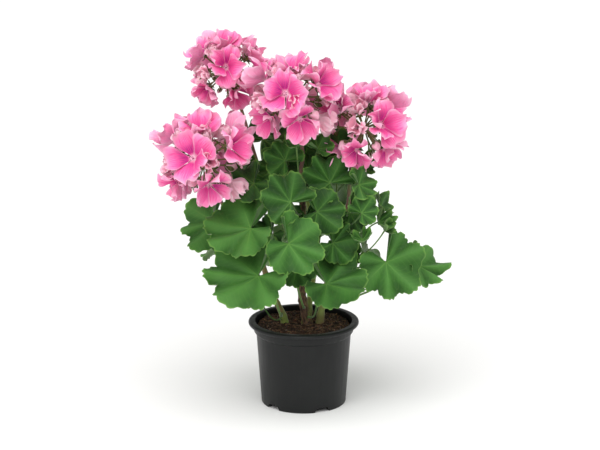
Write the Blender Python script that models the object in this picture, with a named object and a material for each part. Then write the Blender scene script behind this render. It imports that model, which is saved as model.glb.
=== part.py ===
"""A zonal geranium in a round nursery pot.

Metres, +Z up. The origin is the centre of the pot's standing face, and -Y is the plant's front.
Every sub-part is one named object: the pot, the soil, four stems, four flower stalks, the open
florets with their pedicels, and each leaf with its petiole.
"""

import math
from collections import namedtuple

import bmesh
import bpy
from mathutils import Matrix, Vector

MM = 0.001
GAP = 0.3 * MM

# Pot: a moulded tub with a rolled lip, a collar below it and a foot ring with tapered notches.
POT_HEIGHT = 92 * MM
LIP_RADIUS = 60 * MM
LIP_HEIGHT = 4.5 * MM
LIP_OVERHANG = 6 * MM
COLLAR_HEIGHT = 10 * MM
COLLAR_STEP = 2.6 * MM
FOOT_RADIUS = 46 * MM
FOOT_WIDTH = 5 * MM
FOOT_LIFT = 5 * MM
PAD_RADIUS = 22 * MM
POT_WALL = 1.2 * MM
POT_SEGMENTS = 40
NOTCHES = 5
NOTCH_WIDTH = 22 * MM
NOTCH_TAPER = 0.6
NOTCH_TURN = math.radians(26)
DRAINS = 5
DRAIN_RADIUS = 3 * MM

# Soil: fills the pot to under the lip and is slightly mounded round the stems.
SOIL_DROP = 7 * MM
SOIL_MOUND = 2.5 * MM

# Plant: its plan is drawn in units of its height above the soil.
PLANT_HEIGHT = 322 * MM
PLAN_HEIGHT = 322
STEM_SIDES = 8
STALK_SIDES = 6
STALK_RADIUS = 1.9 * MM
PETIOLE_SIDES = 5
PETIOLE_RADIUS = 1.1 * MM
PATH_STEPS = 3
LEAF_THICKNESS = 0.8 * MM
LEAF_LOBES = 7
LEAF_SINUS = math.radians(24)
LEAF_BASE_SHRINK = 0.38
LEAF_NOTCH = 0.93
LEAF_INNER = 0.5

# Flower heads: one open floret on top of a hub and a ring of five round it.
HUB_RADIUS = 4.5 * MM
PEDICEL_RADIUS = 0.9 * MM
PEDICEL_SIDES = 5
PETALS = 5
RING_ELEVATION = math.atan(0.5)
FLORET_CUP = 0.38
FLORET_NOTCH = 0.55
FLORET_INNER = 0.42
FLORET_THICKNESS = 0.8 * MM
FLORET_SPREAD = math.radians(30)

SOIL_TOP = POT_HEIGHT - SOIL_DROP
FLOOR_TOP = FOOT_LIFT + POT_WALL
UNIT = PLANT_HEIGHT / PLAN_HEIGHT

Stem = namedtuple("Stem", "foot_radius tip_radius points")
Stalk = namedtuple("Stalk", "stem at points")
Head = namedtuple("Head", "stalk turn floret_radius")
Leaf = namedtuple("Leaf", "stem at junction facing lift tip length cup")

# Points are x, y and height above the soil. Radii are in millimetres.
STEMS = {
    "woody_stem": Stem(5.2, 3.2, [(5, 1, -14), (3, 0, 8), (-2, 3, 36), (-2, 9, 76), (-1, 11, 121),
                                  (-3, 7, 166)]),
    "left_stem": Stem(3.6, 2.5, [(-19, 3, -14), (-22, 1, 10), (-34, -3, 38), (-47, 0, 80), (-56, 4, 121)]),
    "right_stem": Stem(3.8, 2.5, [(17, 0, -14), (19, 2, 16), (28, 5, 56), (39, 6, 96), (47, 4, 131)]),
    "back_stem": Stem(3.6, 2.5, [(3, 19, -14), (6, 25, 16), (11, 38, 56), (8, 45, 106), (0, 48, 146)]),
}

# A stalk leaves its stem at a share of the stem's length, and carries the hub of its head.
STALKS = {
    "stalk_top_left": Stalk("woody_stem", 0.62, [(-28, 24, 128), (-48, 31, 169), (-67, 35, 232),
                                                 (-82, 37, 273)]),
    "stalk_top_centre": Stalk("woody_stem", 1, [(-1, 0, 190), (-5, -10, 220), (-12, -22, 256)]),
    "stalk_left": Stalk("left_stem", 0.52, [(-62, 0, 82), (-76, -5, 112), (-90, -14, 148), (-105, -36, 192)]),
    "stalk_right": Stalk("right_stem", 1, [(49, 2, 160), (52, 5, 184), (64, 8, 218)]),
}

# turn is where the first floret of the ring looks, in degrees from +X.
HEADS = {
    "head_top_left": Head("stalk_top_left", -100, 22),
    "head_top_centre": Head("stalk_top_centre", -112, 24.5),
    "head_left": Head("stalk_left", -112, 26),
    "head_right": Head("stalk_right", -68, 25),
}

# facing and lift aim the blade's upper side, in degrees from +X and above the horizon. tip turns the
# blade's tip from downhill towards the right of someone who looks at that side, in degrees.
LEAVES = {
    "leaf_right_large": Leaf("right_stem", 0.55, (88, -16, 76), -80, 25, 49, 43, 0.10),
    "leaf_right_edge": Leaf("right_stem", 0.35, (124, 6, 66), -50, 45, 70, 31, 0.25),
    "leaf_front_right": Leaf("woody_stem", 0.22, (24, -50, 62), -88, 58, 100, 46, 0.20),
    "leaf_front_left_low": Leaf("left_stem", 0.30, (-48, -58, 73), -100, 52, -82, 55, 0.20),
    "leaf_front_left_mid": Leaf("left_stem", 0.92, (-56, -40, 120), -104, 48, -95, 48, 0.20),
    "leaf_front_centre": Leaf("woody_stem", 0.80, (-16, -72, 112), -80, 22, 72, 38, 0.20),
    "leaf_centre_upper": Leaf("woody_stem", 0.82, (-14, -47, 150), -92, 20, -145, 33, 0.12),
    "leaf_centre_round": Leaf("woody_stem", 0.62, (14, -32, 136), -86, 14, 95, 30, 0.08),
    "leaf_left_outer": Leaf("left_stem", 0.95, (-97, 18, 112), -112, 28, -68, 38, 0.12),
    "leaf_left_upper": Leaf("left_stem", 0.97, (-67, 18, 162), -118, 24, -92, 31, 0.15),
    "leaf_left_inner": Leaf("left_stem", 1, (-53, -20, 164), -98, 40, -75, 27, 0.15),
    "leaf_top_left": Leaf("woody_stem", 0.80, (-44, 42, 198), -80, 12, 158, 25, 0.15),
    "leaf_top_centre": Leaf("woody_stem", 0.85, (-20, -9, 186), -90, 16, -152, 24, 0.18),
    "leaf_top_small": Leaf("woody_stem", 0.96, (15, -4, 198), -75, 42, 140, 17, 0.30),
    "leaf_right_upper": Leaf("right_stem", 0.85, (28, -10, 162), -86, 20, -155, 32, 0.15),
    "leaf_right_shoulder": Leaf("right_stem", 0.95, (58, -26, 164), -68, 30, 98, 20, 0.15),
    "leaf_right_back_top": Leaf("right_stem", 0.97, (34, 20, 184), -95, 22, -142, 31, 0.15),
    "leaf_right_small_high": Leaf("right_stem", 0.89, (61, -34, 135), -82, 22, 148, 19, 0.2),
    "leaf_right_curl": Leaf("right_stem", 0.9, (83, 0, 132), -20, 30, 172, 18, 0.35),
    "leaf_right_inner": Leaf("right_stem", 0.62, (31, -26, 100), -80, 32, 88, 28, 0.15),
    "leaf_back_right_low": Leaf("right_stem", 0.3, (66, 36, 72), 30, 48, 0, 44, 0.15),
    "leaf_back_centre_low": Leaf("back_stem", 0.42, (22, 76, 98), 72, 44, 5, 44, 0.12),
    "leaf_back_left_low": Leaf("back_stem", 0.36, (-36, 68, 68), 112, 42, -8, 44, 0.15),
    "leaf_left_back_low": Leaf("left_stem", 0.36, (-82, 44, 84), 152, 44, 10, 38, 0.15),
    "leaf_back_right_mid": Leaf("back_stem", 0.78, (44, 56, 144), 60, 40, -5, 40, 0.12),
    "leaf_back_left_mid": Leaf("back_stem", 0.88, (-40, 66, 140), 120, 42, 0, 40, 0.15),
}


def clear_scene():
    for obj in list(bpy.data.objects):
        bpy.data.objects.remove(obj, do_unlink=True)


def material(name, colour, roughness):
    """A Principled BSDF with the part's colour, roughness and no metal."""
    made = bpy.data.materials.new(name)
    made.use_nodes = True
    shader = made.node_tree.nodes["Principled BSDF"]
    shader.inputs["Base Color"].default_value = (*colour, 1)
    shader.inputs["Roughness"].default_value = roughness
    shader.inputs["Metallic"].default_value = 0
    return made


def add_object(name, bm, finish, helper=False):
    """Turns the bmesh into a named object. A helper is a cutter or a piece to be joined."""
    bmesh.ops.recalc_face_normals(bm, faces=bm.faces)
    mesh = bpy.data.meshes.new(name)
    bm.to_mesh(mesh)
    bm.free()
    mesh.materials.append(finish)
    mesh.shade_smooth()
    mesh.set_sharp_from_angle(angle=math.radians(40))
    obj = bpy.data.objects.new(name, mesh)
    bpy.context.scene.collection.objects.link(obj)
    obj.hide_render = helper
    if helper:
        obj.display_type = "WIRE"
    return obj


def boolean(obj, operation, other):
    modifier = obj.modifiers.new(f"{operation.lower()} {other.name}", "BOOLEAN")
    modifier.operation = operation
    modifier.solver = "EXACT"
    modifier.object = other


def direction(azimuth, elevation):
    """A unit vector from its angles, in radians from +X and above the horizon."""
    flat = math.cos(elevation)
    return Vector((math.cos(azimuth) * flat, math.sin(azimuth) * flat, math.sin(elevation)))


def on_plant(point):
    """A point of the plan as a place in metres."""
    x, y, height = point
    return Vector((x * UNIT, y * UNIT, SOIL_TOP + height * UNIT))


def smooth_path(points, steps=PATH_STEPS):
    """Points on a Catmull-Rom curve through the given ones."""
    ends = [points[0] * 2 - points[1], *points, points[-1] * 2 - points[-2]]
    path = []
    for before, start, end, after in zip(ends, ends[1:], ends[2:], ends[3:]):
        for step in range(steps):
            t = step / steps
            path.append(0.5 * (
                start * 2
                + (end - before) * t
                + (before * 2 - start * 5 + end * 4 - after) * t ** 2
                + (start * 3 - before - end * 3 + after) * t ** 3
            ))
    path.append(points[-1].copy())
    return path


def tangents(path):
    ahead = path[1:] + [path[-1] * 2 - path[-2]]
    behind = [path[0] * 2 - path[1]] + path[:-1]
    return [(a - b).normalized() for a, b in zip(ahead, behind)]


def path_frames(path):
    """A matrix at each point of the path, with Z along it, that turns as little as it can."""
    along = tangents(path)
    turn = along[0].to_track_quat("Z", "Y")
    frames = []
    for i, point in enumerate(path):
        if i:
            turn = along[i - 1].rotation_difference(along[i]) @ turn
        frames.append(Matrix.Translation(point) @ turn.to_matrix().to_4x4())
    return frames


def sweep_tube(bm, path, radii, sides):
    """Extrudes a round face along the path, so that the tube is closed at both ends."""
    frames = path_frames(path)
    made = bmesh.ops.create_circle(bm, cap_ends=True, radius=radii[0], segments=sides, matrix=frames[0])
    face = made["verts"][0].link_faces[0]
    for i in range(1, len(path)):
        grown = bmesh.ops.extrude_face_region(bm, geom=[face])["geom"]
        if i > 1:
            bmesh.ops.delete(bm, geom=[face], context="FACES_ONLY")
        step = frames[i] @ Matrix.Scale(radii[i] / radii[i - 1], 4) @ frames[i - 1].inverted()
        bmesh.ops.transform(bm, matrix=step, verts=[v for v in grown if isinstance(v, bmesh.types.BMVert)])
        face = next(f for f in grown if isinstance(f, bmesh.types.BMFace))


def tapered(first, last, count):
    return [first + (last - first) * i / (count - 1) for i in range(count)]


def revolve(bm, profile, segments):
    """Spins a profile of (radius, height) pairs, which starts and ends on the axis, into a solid."""
    verts = [bm.verts.new((radius, 0, height)) for radius, height in profile]
    edges = [bm.edges.new(pair) for pair in zip(verts, verts[1:])]
    bmesh.ops.spin(bm, geom=verts + edges, axis=(0, 0, 1), angle=math.tau, steps=segments, use_merge=True)
    bmesh.ops.remove_doubles(bm, verts=bm.verts, dist=0.01 * MM)


def thicken(bm, thickness):
    """Extrudes an open surface downwards into a closed one."""
    grown = bmesh.ops.extrude_face_region(bm, geom=bm.faces[:])["geom"]
    lower = [v for v in grown if isinstance(v, bmesh.types.BMVert)]
    bmesh.ops.translate(bm, vec=(0, 0, -thickness), verts=lower)


def collar_foot():
    return POT_HEIGHT - LIP_HEIGHT - COLLAR_HEIGHT


def wall_radius(height):
    """The radius of the tapered wall's outer face at a height."""
    shoulder = LIP_RADIUS - LIP_OVERHANG - COLLAR_STEP
    return FOOT_RADIUS + (shoulder - FOOT_RADIUS) * height / collar_foot()


def pot_profile():
    """The pot's section from the middle of its underside, up the outside and down the inside."""
    roll = LIP_HEIGHT / 4
    lip_foot = POT_HEIGHT - LIP_HEIGHT
    collar = LIP_RADIUS - LIP_OVERHANG
    chamfer = FOOT_LIFT / 3
    inner_foot = FOOT_RADIUS - FOOT_WIDTH
    outside = [
        (0, 0), (PAD_RADIUS, 0), (PAD_RADIUS + chamfer, FOOT_LIFT), (inner_foot - chamfer, FOOT_LIFT),
        (inner_foot, 0), (FOOT_RADIUS, 0), (wall_radius(collar_foot()), collar_foot()),
        (collar, collar_foot() + COLLAR_STEP), (collar, lip_foot), (LIP_RADIUS - roll, lip_foot),
        (LIP_RADIUS, lip_foot + roll), (LIP_RADIUS, POT_HEIGHT - roll), (LIP_RADIUS - roll, POT_HEIGHT),
    ]
    inside = [
        (collar - POT_WALL, POT_HEIGHT), (collar - POT_WALL, collar_foot() + COLLAR_STEP),
        (wall_radius(collar_foot()) - POT_WALL, collar_foot()),
        (wall_radius(FLOOR_TOP) - POT_WALL, FLOOR_TOP), (0, FLOOR_TOP),
    ]
    return outside + inside


def add_pot():
    finish = material("pot_plastic", (0.028, 0.030, 0.031), 0.42)
    bm = bmesh.new()
    revolve(bm, pot_profile(), POT_SEGMENTS)
    pot = add_object("nursery_pot", bm, finish)
    notches = bmesh.new()
    for i in range(NOTCHES):
        turn = Matrix.Rotation(NOTCH_TURN - math.pi / 2 + math.tau * i / NOTCHES, 4, "Z")
        size = Matrix.Diagonal((FOOT_WIDTH * 2, NOTCH_WIDTH, FOOT_LIFT * 2, 1))
        block = bmesh.ops.create_cube(notches, size=1, matrix=size)["verts"]
        for vert in block:
            if vert.co.z > 0:
                vert.co.y *= NOTCH_TAPER
        place = turn @ Matrix.Translation((FOOT_RADIUS - FOOT_WIDTH / 2, 0, 0))
        bmesh.ops.transform(notches, matrix=place, verts=block)
    boolean(pot, "DIFFERENCE", add_object("notch_cutter", notches, finish, helper=True))
    drains = bmesh.new()
    ring = (PAD_RADIUS + FOOT_RADIUS - FOOT_WIDTH) / 2
    for i in range(DRAINS):
        place = Matrix.Rotation(math.tau * i / DRAINS, 4, "Z") @ Matrix.Translation((ring, 0, FLOOR_TOP))
        bmesh.ops.create_cone(drains, cap_ends=True, segments=8, radius1=DRAIN_RADIUS, radius2=DRAIN_RADIUS,
                              depth=POT_WALL * 6, matrix=place)
    boolean(pot, "DIFFERENCE", add_object("drain_cutter", drains, finish, helper=True))


def add_soil():
    """Fills the pot, GAP clear of its wall and floor."""
    finish = material("soil", (0.055, 0.028, 0.017), 0.95)
    base = FLOOR_TOP + GAP
    shoulder = collar_foot()
    clear = POT_WALL + 2 * GAP
    edge = SOIL_TOP - SOIL_MOUND
    profile = [(0, base), (wall_radius(base) - clear, base), (wall_radius(shoulder) - clear, shoulder),
               (wall_radius(shoulder) - clear, edge), (wall_radius(shoulder) * 0.6, SOIL_TOP), (0, SOIL_TOP)]
    bm = bmesh.new()
    revolve(bm, profile, POT_SEGMENTS)
    return add_object("potting_soil", bm, finish)


class StemLine:
    """A stem's smooth axis with its radius, so that petioles and stalks can find its surface."""

    def __init__(self, stem):
        self.path = smooth_path([on_plant(p) for p in stem.points])
        self.radii = tapered(stem.foot_radius * MM, stem.tip_radius * MM, len(self.path))
        self.along = tangents(self.path)

    def leave(self, share, target):
        """Where something that grows towards the target leaves the stem, and its first direction."""
        place = share * (len(self.path) - 1)
        i = min(int(place), len(self.path) - 2)
        t = place - i
        centre = self.path[i].lerp(self.path[i + 1], t)
        along = self.along[i].lerp(self.along[i + 1], t).normalized()
        radius = self.radii[i] + (self.radii[i + 1] - self.radii[i]) * t
        if share >= 1:
            return centre + along * GAP, along
        aside = (target - centre) - along * (target - centre).dot(along)
        out = aside.normalized()
        return centre + out * (radius + GAP), out


def add_stems(soil):
    """Grows each stem from a socket in the soil."""
    bark = material("stem_bark", (0.12, 0.065, 0.035), 0.8)
    green = material("stem_green", (0.10, 0.17, 0.04), 0.6)
    lines = {}
    for name, stem in STEMS.items():
        line = StemLine(stem)
        lines[name] = line
        bm = bmesh.new()
        sweep_tube(bm, line.path, line.radii, STEM_SIDES)
        add_object(name, bm, bark if name == "woody_stem" else green)
        socket = bmesh.new()
        buried = line.path[:PATH_STEPS + 2]
        foot = buried[0] - line.along[0] * GAP
        sweep_tube(socket, [foot] + buried[1:], [line.radii[0] + 2 * GAP] * len(buried), STEM_SIDES)
        boolean(soil, "DIFFERENCE", add_object(f"{name}_socket", socket, bark, helper=True))
    return lines


def add_stalks(stems):
    """Grows each flower stalk, and returns the middle of the hub at its end."""
    finish = material("stalk_red_green", (0.20, 0.075, 0.05), 0.6)
    hubs = {}
    for name, stalk in STALKS.items():
        points = [on_plant(p) for p in stalk.points]
        start, out = stems[stalk.stem].leave(stalk.at, points[0])
        path = [start] + smooth_path([start + out * STALK_RADIUS * 3, *points])
        bm = bmesh.new()
        sweep_tube(bm, path, [STALK_RADIUS] * len(path), STALK_SIDES)
        stem = add_object(name, bm, finish)
        hub = bmesh.new()
        hubs[name] = path[-1]
        place = Matrix.Translation(path[-1])
        bmesh.ops.create_icosphere(hub, subdivisions=1, radius=HUB_RADIUS, matrix=place)
        boolean(stem, "UNION", add_object(f"{name}_hub", hub, finish, helper=True))
    return hubs


def floret_surface(bm, radius):
    """A five-petalled cup round +Z with its throat at the origin. Each petal ends between two notches."""
    step = math.tau / (PETALS * 3)
    spoke = [bm.verts.new((radius * share, 0, 0)) for share in (0, FLORET_INNER, 1)]
    edges = [bm.edges.new(pair) for pair in zip(spoke, spoke[1:])]
    bmesh.ops.spin(bm, geom=spoke + edges, axis=(0, 0, 1), angle=math.tau, steps=PETALS * 3, use_merge=True)
    bmesh.ops.remove_doubles(bm, verts=bm.verts, dist=0.01 * MM)
    for vert in bm.verts:
        share = vert.co.length / radius
        spot = round(math.atan2(vert.co.y, vert.co.x) / step) % 3
        if share > 0.9 and spot == 0:
            vert.co *= FLORET_NOTCH
            share = FLORET_NOTCH
        vert.co.z = radius * FLORET_CUP * share ** 1.5


def add_florets(hubs):
    """Sets open florets round each hub so that neighbours share the space between them."""
    finish = material("petal_pink", (0.80, 0.16, 0.38), 0.55)
    for name, head in HEADS.items():
        hub = hubs[head.stalk]
        radius = head.floret_radius * UNIT
        reach = radius / math.tan(FLORET_SPREAD) - radius * FLORET_CUP
        turn = math.radians(head.turn)
        looks = [direction(turn, math.pi / 2)]
        looks += [direction(turn + math.tau * i / PETALS, RING_ELEVATION) for i in range(PETALS)]
        for i, look in enumerate(looks):
            bm = bmesh.new()
            floret_surface(bm, radius)
            thicken(bm, FLORET_THICKNESS)
            place = Matrix.Translation(hub + look * reach) @ look.to_track_quat("Z", "Y").to_matrix().to_4x4()
            bmesh.ops.transform(bm, matrix=place, verts=bm.verts)
            label = "top" if i == 0 else f"side_{i}"
            floret = add_object(f"floret_{name[5:]}_{label}", bm, finish)
            bm = bmesh.new()
            ends = [hub + look * (HUB_RADIUS + GAP), hub + look * (reach - FLORET_THICKNESS / 2)]
            sweep_tube(bm, ends, [PEDICEL_RADIUS] * 2, PEDICEL_SIDES)
            boolean(floret, "UNION", add_object(f"{floret.name}_pedicel", bm, finish, helper=True))


def blade_surface(bm, leaf):
    """A rounded, lobed blade with its tip at +X, its junction at the origin and its upper side up."""
    length = leaf.length * UNIT
    sweep = math.tau - LEAF_SINUS
    spoke = [bm.verts.new((length * share, 0, 0)) for share in (0, LEAF_INNER, 1)]
    edges = [bm.edges.new(pair) for pair in zip(spoke, spoke[1:])]
    bmesh.ops.rotate(bm, cent=(0, 0, 0), matrix=Matrix.Rotation(-sweep / 2, 3, "Z"), verts=spoke)
    bmesh.ops.spin(bm, geom=spoke + edges, axis=(0, 0, 1), angle=sweep, steps=LEAF_LOBES * 2)
    bmesh.ops.remove_doubles(bm, verts=bm.verts, dist=0.01 * MM)
    step = sweep / (LEAF_LOBES * 2)
    for vert in bm.verts:
        angle = math.atan2(vert.co.y, vert.co.x)
        share = vert.co.length / length
        size = 1 - LEAF_BASE_SHRINK * (abs(angle) / math.pi) ** 2.2
        if share > 0.9 and round((angle + sweep / 2) / step) % 2 == 0:
            size *= LEAF_NOTCH
        vert.co *= size
        vert.co.z = length * leaf.cup * (share * size) ** 2


def blade_place(leaf):
    """The matrix that sets a blade at its junction, facing and tip."""
    up = direction(math.radians(leaf.facing), math.radians(leaf.lift))
    downhill = (up * up.z - Vector((0, 0, 1))).normalized()
    right = up.cross(downhill)
    tip = downhill * math.cos(math.radians(leaf.tip)) + right * math.sin(math.radians(leaf.tip))
    turn = Matrix((tip, up.cross(tip), up)).transposed().to_4x4()
    return Matrix.Translation(on_plant(leaf.junction)) @ turn


def petiole_path(leaf, stems):
    """A curve that leaves the stem sideways and meets the blade from below, near its sinus."""
    place = blade_place(leaf)
    end = place @ Vector((0, 0, -LEAF_THICKNESS / 2))
    arrival = (place.to_3x3() @ Vector((0.6, 0, 0.8))).normalized()
    seat, out = stems[leaf.stem].leave(leaf.at, end)
    start = seat + out * PETIOLE_RADIUS * 2
    reach = (end - start).length / 3
    first, second = start + out * reach, end - arrival * reach
    path = [seat]
    for i in range(6):
        t = i / 5
        u = 1 - t
        path.append(start * u ** 3 + first * 3 * t * u * u + second * 3 * t * t * u + end * t ** 3)
    return path


def add_leaves(stems):
    finish = material("leaf_green", (0.07, 0.20, 0.045), 0.55)
    for name, leaf in LEAVES.items():
        bm = bmesh.new()
        blade_surface(bm, leaf)
        thicken(bm, LEAF_THICKNESS)
        bmesh.ops.transform(bm, matrix=blade_place(leaf), verts=bm.verts)
        blade = add_object(name, bm, finish)
        bm = bmesh.new()
        path = petiole_path(leaf, stems)
        sweep_tube(bm, path, [PETIOLE_RADIUS] * len(path), PETIOLE_SIDES)
        boolean(blade, "UNION", add_object(f"{name}_petiole", bm, finish, helper=True))


clear_scene()
add_pot()
stem_lines = add_stems(add_soil())
add_florets(add_stalks(stem_lines))
add_leaves(stem_lines)
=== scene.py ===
"""Potted zonal geranium: the finished surfaces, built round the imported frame."""

import random
from collections import namedtuple
from functools import partial
from math import atan, atan2, copysign, cos, exp, hypot, pi, radians, sin, sqrt, tan, tau

import bmesh
import bpy
from bpy.props import FloatProperty, FloatVectorProperty, IntProperty, PointerProperty
from mathutils import Matrix, Vector, noise


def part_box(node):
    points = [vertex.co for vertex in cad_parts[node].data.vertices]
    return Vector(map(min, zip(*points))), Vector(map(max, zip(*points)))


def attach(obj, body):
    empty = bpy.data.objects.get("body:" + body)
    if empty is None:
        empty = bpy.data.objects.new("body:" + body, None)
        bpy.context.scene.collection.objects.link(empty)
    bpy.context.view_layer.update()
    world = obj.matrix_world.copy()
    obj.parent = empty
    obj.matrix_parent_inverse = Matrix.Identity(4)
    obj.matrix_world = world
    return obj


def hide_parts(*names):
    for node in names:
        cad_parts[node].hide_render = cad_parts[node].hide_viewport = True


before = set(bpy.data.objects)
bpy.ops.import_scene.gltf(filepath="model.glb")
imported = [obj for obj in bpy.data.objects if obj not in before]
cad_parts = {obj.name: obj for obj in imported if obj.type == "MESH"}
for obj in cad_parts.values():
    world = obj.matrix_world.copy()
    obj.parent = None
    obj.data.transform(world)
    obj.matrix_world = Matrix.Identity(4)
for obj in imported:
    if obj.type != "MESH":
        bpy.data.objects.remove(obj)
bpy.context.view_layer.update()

bl_info = {
    "name": "Potted Geranium",
    "version": (1, 0, 0),
    "blender": (4, 5, 0),
    "location": "View3D > Sidebar > Geranium",
    "description": "Builds a zonal geranium in a nursery pot",
    "category": "Object",
}

MM = 0.001
ROOT = "root"
SEED = 11

# The frame gives the pot's size, the soil's height and the scale of the plant's plan.
POT_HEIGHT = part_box("nursery_pot")[1].z
LIP_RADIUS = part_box("nursery_pot")[1].x
SOIL_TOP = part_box("potting_soil")[1].z
HUB_RADIUS = 4.5 * MM
HIGHEST_HUB = 273
UNIT = (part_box("stalk_top_left")[1].z - SOIL_TOP - HUB_RADIUS) / HIGHEST_HUB

# The pot's section, as the frame has it.
LIP_HEIGHT = 4.5 * MM
LIP_OVERHANG = 6 * MM
COLLAR_HEIGHT = 10 * MM
COLLAR_STEP = 2.6 * MM
FOOT_RADIUS = 46 * MM
FOOT_WIDTH = 5 * MM
FOOT_LIFT = 5 * MM
PAD_RADIUS = 22 * MM
POT_WALL = 1.2 * MM
FLOOR_TOP = FOOT_LIFT + POT_WALL
COLLAR_FOOT = POT_HEIGHT - LIP_HEIGHT - COLLAR_HEIGHT
NOTCHES = 5
NOTCH_WIDTH = 22 * MM
NOTCH_TAPER = 0.6
NOTCH_TURN = radians(26)
DRAINS = 5
DRAIN_RADIUS = 3 * MM

GAP = 0.3 * MM
STALK_RADIUS = 1.9 * MM
PETIOLE_RADIUS = 1.1 * MM
LEAF_LOBES = 7
LEAF_SINUS = radians(24)
PETALS = 5
RING_ELEVATION = atan(0.5)
FLORET_CUP = 0.38
FLORET_SPREAD = radians(30)

Stem = namedtuple("Stem", "foot_radius tip_radius points")
Stalk = namedtuple("Stalk", "stem at points")
Head = namedtuple("Head", "stalk turn floret_radius")
Leaf = namedtuple("Leaf", "stem at junction facing lift tip length cup")

# What only the finished surfaces have.
WELD = 0.01 * MM
EDGE_ROUNDING = 0.8 * MM
NOTCH_ROUNDING = 1.6 * MM
# How far the loose top of the soil stands over the frame's plain one. The ranges are in millimetres.
SOIL_FLUFF = 2.8 * MM
CRUMB_RADIUS = 0.5, 1.7
FIBRE_LENGTH = 4, 11
FIBRE_RADIUS = 0.18, 0.42
KNOT_SPACING = 17 * MM
KNOT_LENGTH = 2.2 * MM
FLARE_HEIGHT = 8 * MM
# How much a stem's knots swell, its flare at the soil in millimetres, how fine its skin's lumps are, and
# their height in millimetres.
WOODY_GROWTH = 0.16, 2.4, 260, 0.55
SOFT_GROWTH = 0.2, 1.8, 120, 0.2
# tone holds each blade's tone, with painted shade in the valleys between its lobes and on the older blades
# deep in the crown.
BLADE_LAYERS = "vein_gap", "reach", "rim", "under", "tone"
BLADE_THICKNESS = 0.45 * MM
# The two lobes beside the sinus fold up from this angle off the tip.
LEAF_FOLD = radians(114)
# Lengths of leaf, in the units of the plan. Leaves under the crown's height can be fresh green;
# the others are older and darker, with painted shade deep in the crown.
BIG_LEAF, FRESH_LEAF, MIDDLE_LEAF, SMALL_LEAF = 36, 30, 24, 22
CROWN_HEIGHT = 125
PETIOLE_STEPS = 12
PETAL_LAYERS = "along", "across", "blotch", "pale", "back"
PETAL_THICKNESS = 0.22 * MM
SEPAL_THICKNESS = 0.3 * MM
BRACT_THICKNESS = 0.35 * MM
BRACTS = 7
GREEN_BUDS = 7
TEMPLATE_RADIUS = 25 * MM
TOP_REACH = 0.86
# How far an open floret leans from its place in the frame, sideways and upwards, and its size.
LEAN = {"top": (0, -14, 0.9), "side_1": (9, -10, 1.05), "side_2": (12, 6, 0.97),
        "side_5": (-12, 6, 0.97)}
# What grows below each head's ring of open florets: its kind, its size and how far it droops.
LOWER_RING = [("open", 0.86, 4), ("half", 0.9, 10), ("open", 0.8, 0), ("open", 0.84, 12),
              ("open", 0.82, 8)]
# What grows between them: its kind, its turn in parts of a floret's, its elevation and how far that
# wanders in degrees, its reach and its size.
BETWEEN = [("half", 0.5, 50, 6, 0.76, 0.76), ("half", 0.5, 4, 8, 0.86, 0.74),
           ("bud", 0, -20, 6, 0.82, 0.95)]

FLOOR_RADIUS = 9
PAPER_FIBRE = 0.93, 0.93, 0.92, 1
PLANT_MIDDLE = Vector((0, 0, 0.22))
FILL_PLACE = Vector((-1.4, -1.5, 0.9))
FILL_SIZE = 1.2
KEY_AZIMUTH = radians(-100)
KEY_ELEVATION = radians(60)
KEY_SPREAD = radians(70)
AIM = Vector((-0.004, 0, 0.198))
LENS = 123
SENSOR_WIDTH = 36

# Points are x, y and height above the soil, in the units of the plan. Radii are in millimetres.
STEMS = {
    "woody_stem": Stem(5.2, 3.2, [(5, 1, -14), (3, 0, 8), (-2, 3, 36), (-2, 9, 76), (-1, 11, 121),
                                  (-3, 7, 166)]),
    "left_stem": Stem(3.6, 2.5, [(-19, 3, -14), (-22, 1, 10), (-34, -3, 38), (-47, 0, 80), (-56, 4, 121)]),
    "right_stem": Stem(3.8, 2.5, [(17, 0, -14), (19, 2, 16), (28, 5, 56), (39, 6, 96), (47, 4, 131)]),
    "back_stem": Stem(3.6, 2.5, [(3, 19, -14), (6, 25, 16), (11, 38, 56), (8, 45, 106), (0, 48, 146)]),
}

STALKS = {
    "stalk_top_left": Stalk("woody_stem", 0.62, [(-28, 24, 128), (-48, 31, 169), (-67, 35, 232),
                                                 (-82, 37, 273)]),
    "stalk_top_centre": Stalk("woody_stem", 1, [(-1, 0, 190), (-5, -10, 220), (-12, -22, 256)]),
    "stalk_left": Stalk("left_stem", 0.52, [(-62, 0, 82), (-76, -5, 112), (-90, -14, 148),
                                            (-105, -36, 192)]),
    "stalk_right": Stalk("right_stem", 1, [(49, 2, 160), (52, 5, 184), (64, 8, 218)]),
}

HEADS = {
    "head_top_left": Head("stalk_top_left", -100, 22),
    "head_top_centre": Head("stalk_top_centre", -112, 24.5),
    "head_left": Head("stalk_left", -112, 26),
    "head_right": Head("stalk_right", -68, 25),
}

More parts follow.
